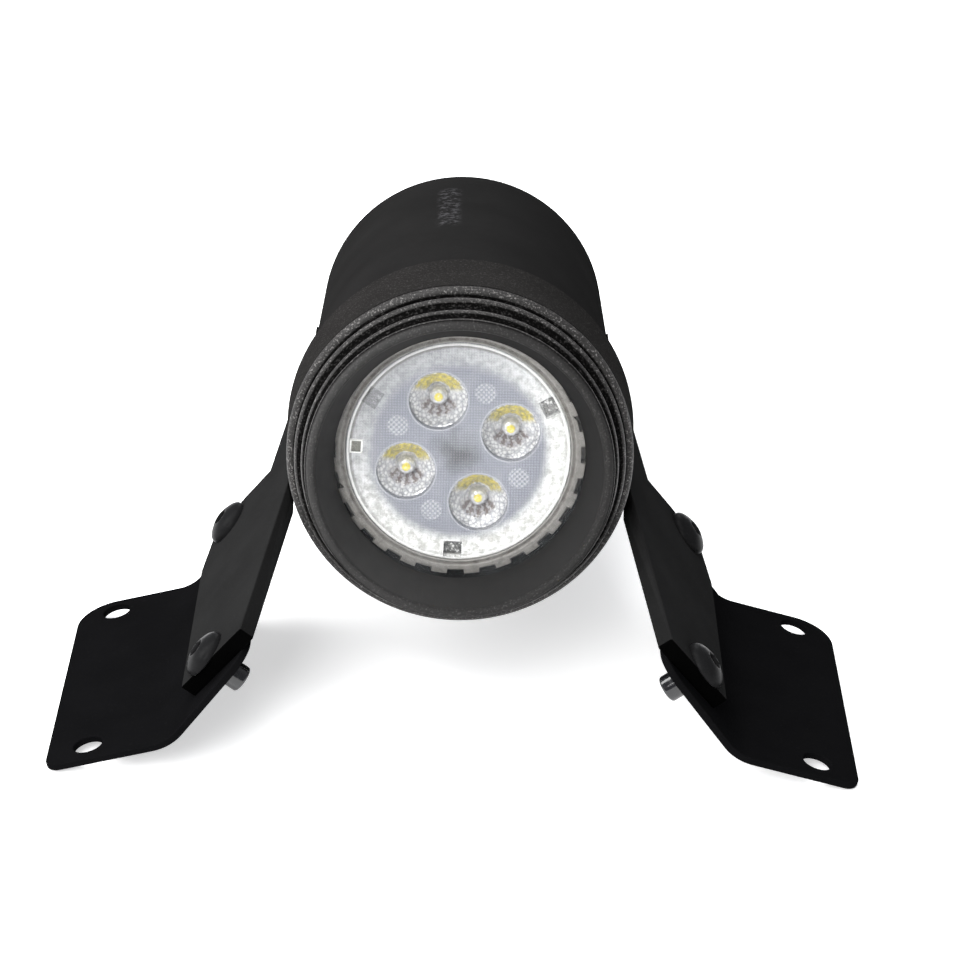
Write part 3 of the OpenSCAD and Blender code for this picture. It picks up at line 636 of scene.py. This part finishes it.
FINISH = {
    "housing_black": housing_black(),
    "ring_black": ring_black(),
    "cover_glass": cover_glass(),
    "seal_rubber": moulded("seal_rubber", (0.012, 0.012, 0.012), 0.62, 0.03, 0.2, 0.3),
    "bezel_grey": bezel_grey(),
    "lens_clear": lens_clear(),
    "clip_grey": clip_grey(),
    "phosphor_yellow": phosphor_yellow(),
    "board_white": moulded("board_white", (0.72, 0.74, 0.76), 0.5, 0.02, 0.08, 0.4),
    "heatsink_aluminium": metal("heatsink_aluminium", (0.60, 0.61, 0.62), 0.38),
    "board_green": moulded("board_green", (0.02, 0.13, 0.045), 0.4, 0.02, 0.2, 0.5),
    "ceramic_white": moulded("ceramic_white", (0.70, 0.68, 0.62), 0.35, 0.03, 0.06, 0.5),
    "contact_brass": metal("contact_brass", (0.75, 0.55, 0.25), 0.3),
    "screw_steel": metal("screw_steel", (0.56, 0.57, 0.58), 0.32),
    "plate_grey": moulded("plate_grey", (0.045, 0.048, 0.052), 0.55, 0.04, 0.15, 0.35),
    "wire_black": moulded("wire_black", (0.012, 0.012, 0.013), 0.45, 0.01, 0.15, 0.4),
    "gland_black": painted("gland_black", (0.0060, 0.0060, 0.0063), 0.48, 0.03, size=0.35),
    # The arms take painted shade on their faces turned to the front.
    "arm_black": painted("arm_black", (0.0135, 0.0135, 0.0135), 0.6, 0.05, size=0.3,
                         specular=0.0, wear_and_edge_highlight=0.12, front_shade=0.97),
    "screw_black": painted("screw_black", (0.0085, 0.0085, 0.0088), 0.30, 0.02, size=0.3,
                           specular=0.02, wear_and_edge_highlight=0.1, edge=0.12),
    # The brackets' edges take the full lightening: partly wear, partly painted highlight.
    "bracket_black": painted("bracket_black", (0.0038, 0.0038, 0.0041), 0.5, 0.015, size=0.4,
                             specular=0.0, wear_and_edge_highlight=1.0),
    "nut_black": nut_black(),
}


def wear(piece, slot, finish=None):
    """Gives a piece the finish of a slot of the record."""
    piece.data.materials.clear()
    piece.data.materials.append(finish or FINISH[slot])


for node in nodes.values():
    for slot in node.material_slots:
        slot.material = FINISH[slot.material.name.split(".")[0]]

# ---- Front ring ----


def ridge(centre_r, centre_z, radius, first, last, count=12):
    """An arc over a ridge of the nose, with a painted crest highlight that fades towards both ends."""
    points = arc(centre_r, centre_z, radius, first, last, count)
    return [(r, z, math.sin(math.pi * i / count) ** 0.6, 0, 1) for i, (r, z) in enumerate(points)]


def front_ring_piece():
    """The ring's section: radius, distance back, and how far each point is crest, funnel and nose; crest
    weighs a painted highlight, and nose without crest is painted in shade.
    """
    nose, rear = span("front_ring")
    rear_r = reach("front_ring")
    widest_r = 34.6
    pocket_r = reach("cover_glass") + 0.05
    pocket_back = span("glass_gasket")[1] - 0.35
    glass_front = span("cover_glass")[0] - 0.05
    throat_front = glass_front - 0.85
    lip = nose + 0.8
    grip_front, grip_rear = 1.2, rear - 0.6

    def plain(*points):
        return [(r, z, 0, 0, 0) for r, z in points]

    # Groove points are nose without crest, so they take the painted shade.
    def groove(*points):
        return [(r, z, 0, 0, 1) for r, z in points]

    def funnel(*points):
        return [(r, z, 0, 1, 0) for r, z in points]

    section = plain((NECK_R, rear), (rear_r - 0.6, rear), *arc(rear_r - 0.6, grip_rear, 0.6, 90, 0, 5))
    section += plain(*[(rear_r + (widest_r - rear_r) * t, grip_rear + (grip_front - grip_rear) * t)
                       for t in (0.25, 0.5, 0.75, 0.96)])
    section += ridge(widest_r - 1.4, grip_front, 1.4, 0, -95)
    section += groove((32.55, -0.28), (32.35, -0.62))
    section += ridge(31.55, -2.1, 1.38, 50, -62)
    section += groove((31.35, -4.0), (31.1, -4.4))
    section += ridge(29.95, -5.9, 1.42, 42, -48, 10)
    section += groove((30.35, -7.75), (30.1, -8.1), (30.25, -8.45))
    section += ridge(29.35, -9.6, 1.15, 38, -30, 8)
    section += [(r, z, 0.35, 0.5, 0.3) for r, z in arc(LIP_R + 0.8, lip, 0.8, -25, -180, 12)]
    section += funnel(*[(LIP_R + (THROAT_R - LIP_R) * t, lip + (throat_front - lip) * t)
                        for t in (0.06, 0.35, 0.7)])
    section += funnel((THROAT_R, throat_front), (THROAT_R, glass_front))
    section += plain((pocket_r, glass_front), (pocket_r, pocket_back), (NECK_R, pocket_back))
    bm = bmesh.new()
    zone = bm.verts.layers.float_vector.new("zone")
    loops = loft(bm, [point[:2] for point in section], 224, closed=True)
    for loop, point in zip(loops, section):
        for v in loop:
            v[zone] = point[2:]
    piece = finish_mesh("front_ring_detail", bm, HOUSING, "front_ring", 32)
    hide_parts("front_ring")
    wear(piece, "ring_black")


# ---- Lamp ----


def bezel_piece():
    """Lamp rim with open slots around its edge and a shallow groove in its face."""
    slots = 24
    slot_half = math.asin(3.5 / 2 / LAMP_R)
    gap = 2 * math.pi / slots - 2 * slot_half
    floor_r = LAMP_R - 0.9
    inner_r = LENS_R + 0.08
    back_r = LENS_R - 0.7
    rebate = 2.2
    depth = span("lamp_bezel")[1] - span("lamp_bezel")[0]
    slot_depth = depth - 1.4
    columns = []
    bm = bmesh.new()

    def column(angle, r, step):
        section = [(inner_r, 0.02), (inner_r + 0.25, 0), (inner_r + 0.5, 0.14), (inner_r + 0.9, 0.14)]
        section += [(inner_r + 1.15, 0), (r - 0.25, 0), (r - 0.07, 0.07), (r, 0.25), (r, max(step, 0.26))]
        section += [(LAMP_R, max(step, 0.27)), (LAMP_R, depth)]
        section += [(back_r, depth), (back_r, rebate), (inner_r, rebate)]
        columns.append([bm.verts.new((p * math.cos(angle), p * math.sin(angle), z)) for p, z in section])

    for i in range(slots):
        middle = 2 * math.pi * i / slots
        for t in range(4):
            column(middle - slot_half + 2 * slot_half * t / 3, floor_r, slot_depth)
        for t in range(4):
            column(middle + slot_half + gap * t / 3, LAMP_R, 0)
    for a, b in zip(columns, columns[1:] + columns[:1]):
        for i in range(len(a)):
            j = (i + 1) % len(a)
            bm.faces.new((a[i], a[j], b[j], b[i]))
    bmesh.ops.remove_doubles(bm, verts=bm.verts, dist=0.0005)
    piece = finish_mesh("lamp_bezel_detail", bm, LAMP, "fixture", 25)
    add_bevel(piece, 0.07, 2, 50)
    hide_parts("lamp_bezel")
    wear(piece, "bezel_grey")


def lens_piece():
    """Lens disc with a stepped rim and a small square moulding gate."""
    front, back = (z - LAMP_FACE for z in span("lamp_lens"))
    steps = [(21.9, 0), (21.7, 0.2), (21.2, 0.26), (19.4, 0.16), (17.2, 0.12)]
    steps += [(13, 0.06), (8, 0.03), (4, 0.01), (0, 0)]
    outline = [(0, back), (LENS_R - 0.3, back), (LENS_R, back - 0.3), (LENS_R, front + 0.5)]
    outline += arc(LENS_R - 0.45, front + 0.45, 0.45, 0, -90, 6)
    outline += [(r, front + sunk) for r, sunk in steps]
    bm = bmesh.new()
    loft(bm, outline, 160)

    def gate(made):
        half, wall, rise = 1.2, 0.14, 0.22
        for turn in (0, 90, 180, 270):
            bar = bmesh.ops.create_cube(made, size=2)["verts"]
            box = Matrix.Diagonal((wall, half + wall, rise / 2 + 0.1, 1))
            shape = Matrix.Translation((half, 0, rise / 2)) @ box
            bmesh.ops.transform(made, matrix=Matrix.Rotation(math.radians(turn), 4, "Z") @ shape, verts=bar)

    place_copy(bm, Matrix.Rotation(GATE_ANGLE, 4, "Z") @ Matrix.Translation((GATE_R, 0, front - 0.02)), gate)
    piece = finish_mesh("lamp_lens_detail", bm, LAMP, "fixture", 30)
    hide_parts("lamp_lens")
    wear(piece, "lens_clear")


def cones_piece():
    """Four faceted lens cones with a small dome in each."""
    front, back = (z - LAMP_FACE for z in span("lens_cones"))
    bm = bmesh.new()
    layer = bm.verts.layers.float_vector.new("place")
    profile = [(5.85, 0.0), (5.55, 0.25), (4.9, 0.9), (4.2, 1.6), (3.5, 2.4), (2.9, 3.2), (2.3, 3.9)]
    dome = [(1.95, 3.4), (1.75, 2.2), (1.3, 1.5), (0.75, 1.15), (0, 1.0)]

    def cone(number, rings, start, ragged):
        angle = FIRST_CONE + number * math.pi / 2
        middle = Vector((CONE_CIRCLE_R * math.cos(angle), CONE_CIRCLE_R * math.sin(angle), front))
        before = set(bm.verts)
        loft(bm, rings, 36, start=start)
        for v in [v for v in bm.verts if v not in before]:
            if ragged and 2.2 < math.hypot(v.co.x, v.co.y) < 5.6:
                v.co.z += random.uniform(-0.22, 0.22)
                v.co.x += random.uniform(-0.1, 0.1)
                v.co.y += random.uniform(-0.1, 0.1)
            v[layer] = Vector((v.co.x, -v.co.y, v.co.z))
            v.co += middle

    for i in range(4):
        cone(i, profile + dome, 0.3 * i, True)
    for i in range(4):
        cone(i, [(5.9, 0.0), (5.9, 0.8), (4.8, 3.0), (2.7, back - front), (0, back - front)], 0.0, False)
    bmesh.ops.remove_doubles(bm, verts=bm.verts, dist=0.001)
    piece = finish_mesh("lens_cones_detail", bm, LAMP, "fixture", 12)
    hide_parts("lens_cones")
    wear(piece, "lens_clear", cone_crystal())


def clips_piece():
    """Three soiled clips under the lens's rim."""
    front, back = (z - LAMP_FACE for z in span("lens_clips"))
    bm = bmesh.new()
    for angle in CLIP_ANGLES:
        clip = bmesh.ops.create_cube(bm, size=1)["verts"]
        where = Matrix.Rotation(angle, 4, "Z") @ Matrix.Translation((CLIP_R, 0, (front + back) / 2))
        bmesh.ops.transform(bm, matrix=where @ Matrix.Diagonal((2.7, 3.5, back - front, 1)), verts=clip)
    bmesh.ops.bevel(bm, geom=bm.edges[:], offset=0.3, segments=2, affect="EDGES")
    piece = finish_mesh("lens_clips_detail", bm, LAMP, "fixture", 40)
    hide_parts("lens_clips")
    wear(piece, "clip_grey")


# ---- Fasteners ----


def islands_of(mesh):
    """The separate solids of a mesh, each as a list of its vertices' places."""
    bm = bmesh.new()
    bm.from_mesh(mesh)
    bmesh.ops.remove_doubles(bm, verts=bm.verts, dist=0.002 * MM)
    found, left = [], set(bm.verts)
    while left:
        todo, island = [left.pop()], []
        while todo:
            v = todo.pop()
            island.append(v.co.copy())
            for e in v.link_edges:
                other = e.other_vert(v)
                if other in left:
                    left.remove(other)
                    todo.append(other)
        found.append(island)
    bm.free()
    return found


def axis_frame(points, direction):
    """A frame whose z is direction and whose origin is the middle of the points at their far end along it."""
    side = Vector((0, 1, 0))
    across = side.cross(direction).normalized()
    turned = Matrix((across, direction.cross(across), direction)).transposed()
    local = [turned.transposed() @ p for p in points]
    top = max(p.z for p in local)
    mid_x = (min(p.x for p in local) + max(p.x for p in local)) / 2
    mid_y = (min(p.y for p in local) + max(p.y for p in local)) / 2
    origin = turned @ Vector((mid_x, mid_y, top))
    return Matrix.Translation(origin) @ turned.to_4x4(), top - min(p.z for p in local)


def splay_of():
    """Lean of the arms from upright: the direction from the right front nut to its screw."""
    middles = []
    for node in ("blind_nuts", "arm_screws"):
        right = [p for p in islands_of(nodes[node].data) if sum(v.x for v in p) > 0]
        front = min(right, key=lambda p: sum(v.y for v in p) / len(p))
        middles.append(sum(front, Vector()) / len(front))
    along = middles[1] - middles[0]
    return math.atan2(along.z, along.x)


def fastener_piece(node, slot, outward, rings_for):
    """Lofts one fastener for each solid of a node, with z along its axis and 0 at its far end."""
    bm = bmesh.new()
    for points in islands_of(nodes[node].data):
        side = 1 if sum(p.x for p in points) > 0 else -1
        direction = Vector((side * math.cos(SPLAY), 0, math.sin(SPLAY))) * outward
        where, length = axis_frame(points, direction)
        matrix = Matrix.Scale(1 / MM, 4) @ where @ Matrix.Scale(MM, 4)
        place_copy(bm, matrix, lambda made: loft(made, rings_for(-length / MM), 48))
    piece = finish_mesh(node + "_detail", bm, Matrix.Identity(4), "fixture", 38)
    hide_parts(node)
    wear(piece, slot)


def screw_rings(low):
    """A button head with a hexagon socket, down to the end of its shank at low."""
    head_h, head_r, shank_r = 2.7, 4.98, 1.95
    socket, depth = hexagon(3.0), 1.45
    rings = [(0, low), (shank_r - 0.3, low), (shank_r, low + 0.3), (shank_r, -head_h)]
    rings += [(head_r - 0.25, -head_h), (head_r, -head_h + 0.25), (head_r - 0.02, -head_h + 0.6)]
    for t in (0.12, 0.28, 0.46, 0.64, 0.82, 1.0):
        rings.append((head_r - 0.05 - 2.9 * t ** 1.7, -head_h + 0.6 + (head_h - 0.62) * t ** 0.72))
    rings += [(smaller(hexagon(3.7), 1.95), -0.01), (smaller(hexagon(3.25), 1.9), -0.1)]
    return rings + [(socket, -0.35), (socket, -depth), (0.3, -depth - 0.3), (0, -depth - 0.3)]


def nut_rings(low):
    """A round blind nut: open at low, with a closed and slightly domed end."""
    outer_r, thread_r, end_t, edge = 2.74, 2.0, 0.9, 0.55
    rings = [(0, -end_t), (thread_r, -end_t), (thread_r, low + 0.3), (thread_r + 0.25, low)]
    rings += [(outer_r - 0.1, low), (outer_r, low + 0.1), (outer_r, -1.6), (outer_r, -edge - 0.12)]
    rings += arc(outer_r - edge, -edge - 0.12, edge, 12, 78, 6)
    return rings + [(outer_r - edge - 0.6, -0.04), (0.8, -0.005), (0, 0)]


SPLAY = splay_of()
front_ring_piece()
bezel_piece()
lens_piece()
cones_piece()
clips_piece()
fastener_piece("arm_screws", "screw_black", 1, screw_rings)
fastener_piece("blind_nuts", "nut_black", -1, nut_rings)

# Node, slot, width of the rounded edges in millimetres, and steps across them.
ROUNDED = [
    ("left_arm", "arm_black", 0.35, 3),
    ("left_bracket", "bracket_black", 0.3, 3),
    ("right_arm", "arm_black", 0.35, 3),
    ("right_bracket", "bracket_black", 0.3, 3),
    ("rear_cap", "housing_black", 0.25, 3),
    ("gland_body", "gland_black", 0.25, 3),
    ("gland_nut", "gland_black", 0.3, 3),
    ("rear_cap_screws", "screw_steel", 0.12, 2),
    ("shoe_screws", "screw_black", 0.12, 2),
]
for rounded in ROUNDED:
    rounded_copy(*rounded)

# ---- Floor, lights, camera ----

AIM = (0, 0, 0.04)
# Name, place, the point it faces, width and power.
LIGHTS = [
    ("overhead", (-0.4, -0.1, 1.15), (0, 0, 0), 1.2, 22),
    ("front", (-0.45, -1.1, 0.85), AIM, 0.7, 17),
    ("left_side", (-1.1, 0.1, 0.7), AIM, 0.6, 10),
    ("right_side", (1.1, -0.2, 0.7), AIM, 0.6, 0.2),
    ("rear", (0.2, 1.2, 0.8), AIM, 0.6, 3),
]
FLOOR_HALF = 3
FLOOR_GLOW = 0.55
SKY_STRENGTH = 0.35

def floor():
    """A plain white floor that glows a little, so it shows nearly white."""
    bm = bmesh.new()
    bmesh.ops.create_grid(bm, x_segments=8, y_segments=8, size=FLOOR_HALF)
    mesh = bpy.data.meshes.new("floor")
    bm.to_mesh(mesh)
    bm.free()
    piece = bpy.data.objects.new("floor", mesh)
    bpy.context.scene.collection.objects.link(piece)
    s = Shader("floor_white")
    s.set(base_color=s.mix(s.noise(300, 2), (0.86, 0.86, 0.86), (0.9, 0.9, 0.9)), roughness=0.9)
    s.bsdf.inputs["Emission Color"].default_value = (1, 1, 1, 1)
    s.bsdf.inputs["Emission Strength"].default_value = FLOOR_GLOW
    s.bsdf.inputs["Specular IOR Level"].default_value = 0.1
    mesh.materials.append(s.mat)


def area_light(name, place, aim, size, power):
    data = bpy.data.lights.new(name, "AREA")
    data.shape = "SQUARE"
    data.size = size
    data.energy = power
    lamp = bpy.data.objects.new(name, data)
    lamp.location = place
    lamp.rotation_euler = (Vector(aim) - Vector(place)).to_track_quat("-Z", "Y").to_euler()
    bpy.context.scene.collection.objects.link(lamp)


def camera():
    data = bpy.data.cameras.new("camera")
    data.lens = CAMERA_LENS
    data.sensor_width = SENSOR_WIDTH
    data.clip_start = 0.01
    data.clip_end = 50
    level = math.cos(CAMERA_PITCH)
    ahead = Vector((math.sin(CAMERA_YAW) * level, math.cos(CAMERA_YAW) * level, -math.sin(CAMERA_PITCH)))
    right = Vector((math.cos(CAMERA_YAW), -math.sin(CAMERA_YAW), 0))
    up = right.cross(ahead)
    rolled_right = math.cos(CAMERA_ROLL) * right + math.sin(CAMERA_ROLL) * up
    rolled_up = math.cos(CAMERA_ROLL) * up - math.sin(CAMERA_ROLL) * right
    seen = bpy.data.objects.new("camera", data)
    turned = Matrix((rolled_right, rolled_up, -ahead)).transposed().to_4x4()
    seen.matrix_world = Matrix.Translation(CAMERA_AT) @ turned
    bpy.context.scene.collection.objects.link(seen)
    bpy.context.scene.camera = seen


def world():
    made = bpy.data.worlds.new("studio")
    made.use_nodes = True
    made.node_tree.nodes["Background"].inputs["Color"].default_value = (0.9, 0.93, 1.0, 1)
    made.node_tree.nodes["Background"].inputs["Strength"].default_value = SKY_STRENGTH
    bpy.context.scene.world = made
    bpy.context.scene.view_settings.view_transform = "Standard"


floor()
for light in LIGHTS:
    area_light(*light)
world()
camera()

bpy.context.view_layer.update()
